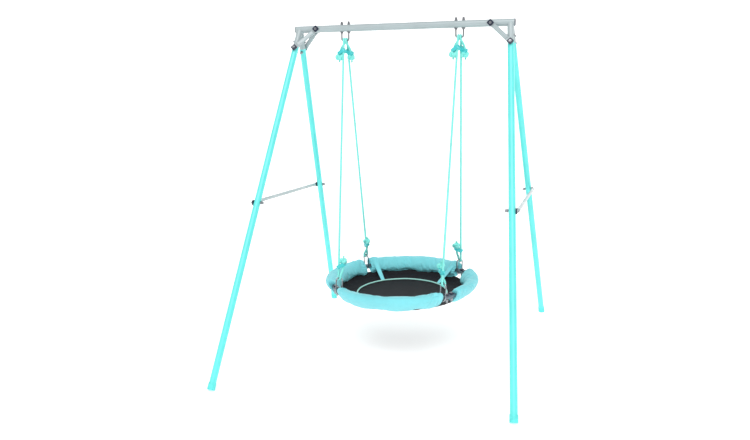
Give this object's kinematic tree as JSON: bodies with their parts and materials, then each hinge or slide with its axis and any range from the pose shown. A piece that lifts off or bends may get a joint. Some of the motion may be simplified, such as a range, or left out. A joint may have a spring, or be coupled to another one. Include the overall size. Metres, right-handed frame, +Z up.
{
  "type": "saucer nest swing",
  "caption": "Garden nest swing: a round padded saucer seat on ropes and snap hooks, hung from a beam on an A-frame of round tube legs.",
  "frame": {"origin": "on the ground, under the middle of the seat", "axes": "+X along the top beam to the right, +Y to the rear, +Z up"},
  "size_m": [1.6378, 2.0352, 1.9952],
  "materials": {
    "turquoise_paint": "gloss",
    "grey_paint": "satin",
    "ring_paint": "satin",
    "zinc_steel": "bright zinc",
    "bright_steel": "polished",
    "dark_plastic": "satin",
    "foot_plastic": "satin",
    "adjuster_plastic": "satin",
    "rope_fibre": "braided",
    "sleeve_fabric": "coated woven cloth",
    "mat_fabric": "woven mesh",
    "binding_fabric": "woven"
  },
  "bodies": {
    "frame": {"beam_tube": "grey_paint", "corner_fitting_left": "grey_paint", "corner_fitting_right": "grey_paint", "beam_end_caps": "dark_plastic", "leg_front_left": "turquoise_paint", "leg_front_right": "turquoise_paint", "leg_rear_left": "turquoise_paint", "leg_rear_right": "turquoise_paint", "foot_caps": "foot_plastic", "brace_front_left": "grey_paint", "brace_front_right": "grey_paint", "brace_rear_left": "grey_paint", "brace_rear_right": "grey_paint", "brace_caps": "dark_plastic", "beam_bolts": "zinc_steel", "leg_bolts": "zinc_steel", "brace_nuts": "zinc_steel", "spigot_screws": "zinc_steel", "spreader_bar_left": "grey_paint", "spreader_bar_right": "grey_paint", "spreader_saddles": "dark_plastic", "spreader_bolts": "zinc_steel", "spreader_nuts": "zinc_steel", "u_bolt_left": "zinc_steel", "u_bolt_right": "zinc_steel", "hanger_dome_nuts": "zinc_steel", "hanger_flange_nuts": "zinc_steel"},
    "swing": {"gate_rivets": "zinc_steel", "lower_adjusters": "adjuster_plastic", "mat": "mat_fabric", "mat_binding": "binding_fabric", "mat_straps": "sleeve_fabric", "mat_wall": "mat_fabric", "ring_bolt_caps": "dark_plastic", "ring_bolts": "zinc_steel", "ring_joint_sleeves": "ring_paint", "ring_nuts": "zinc_steel", "ring_tube_front": "ring_paint", "ring_tube_left": "ring_paint", "ring_tube_rear": "ring_paint", "ring_tube_right": "ring_paint", "rope_front_left": "rope_fibre", "rope_front_right": "rope_fibre", "rope_knots": "rope_fibre", "rope_rear_left": "rope_fibre", "rope_rear_right": "rope_fibre", "sleeve_front": "sleeve_fabric", "sleeve_left": "sleeve_fabric", "sleeve_rear": "sleeve_fabric", "sleeve_right": "sleeve_fabric", "snap_hook_front_left": "bright_steel", "snap_hook_front_right": "bright_steel", "snap_hook_rear_left": "bright_steel", "snap_hook_rear_right": "bright_steel", "upper_adjusters": "adjuster_plastic"},
    "hook_gate_front_left": {"hook_gate_front_left": "bright_steel"},
    "hook_gate_front_right": {"hook_gate_front_right": "bright_steel"},
    "hook_gate_rear_left": {"hook_gate_rear_left": "bright_steel"},
    "hook_gate_rear_right": {"hook_gate_rear_right": "bright_steel"}
  },
  "joints": [
    {"name": "swing_hinge", "type": "hinge", "parent": "frame", "child": "swing", "pos_m": [0, 0, 1.883], "axis": [1, 0, 0], "range_deg": [-45, 45]},
    {"name": "gate_front_left_hinge", "type": "hinge", "parent": "swing", "child": "hook_gate_front_left", "pos_m": [-0.32819, -0.29823, 0.40939], "axis": [-0.6842, 0.7123, -0.1564], "range_deg": [0, 28], "stiffness_Nm_per_rad": 0.08, "springref_deg": -8.59},
    {"name": "gate_front_right_hinge", "type": "hinge", "parent": "swing", "child": "hook_gate_front_right", "pos_m": [0.3308, -0.29467, 0.40878], "axis": [-0.5039, -0.8463, 0.1728], "range_deg": [0, 28], "stiffness_Nm_per_rad": 0.08, "springref_deg": -8.59},
    {"name": "gate_rear_left_hinge", "type": "hinge", "parent": "swing", "child": "hook_gate_rear_left", "pos_m": [-0.33091, 0.29445, 0.44383], "axis": [0.495, 0.8506, 0.1777], "range_deg": [0, 28], "stiffness_Nm_per_rad": 0.08, "springref_deg": -8.59},
    {"name": "gate_rear_right_hinge", "type": "hinge", "parent": "swing", "child": "hook_gate_rear_right", "pos_m": [0.32833, 0.29804, 0.44446], "axis": [0.677, -0.7181, -0.1611], "range_deg": [0, 28], "stiffness_Nm_per_rad": 0.08, "springref_deg": -8.59}
  ]
}
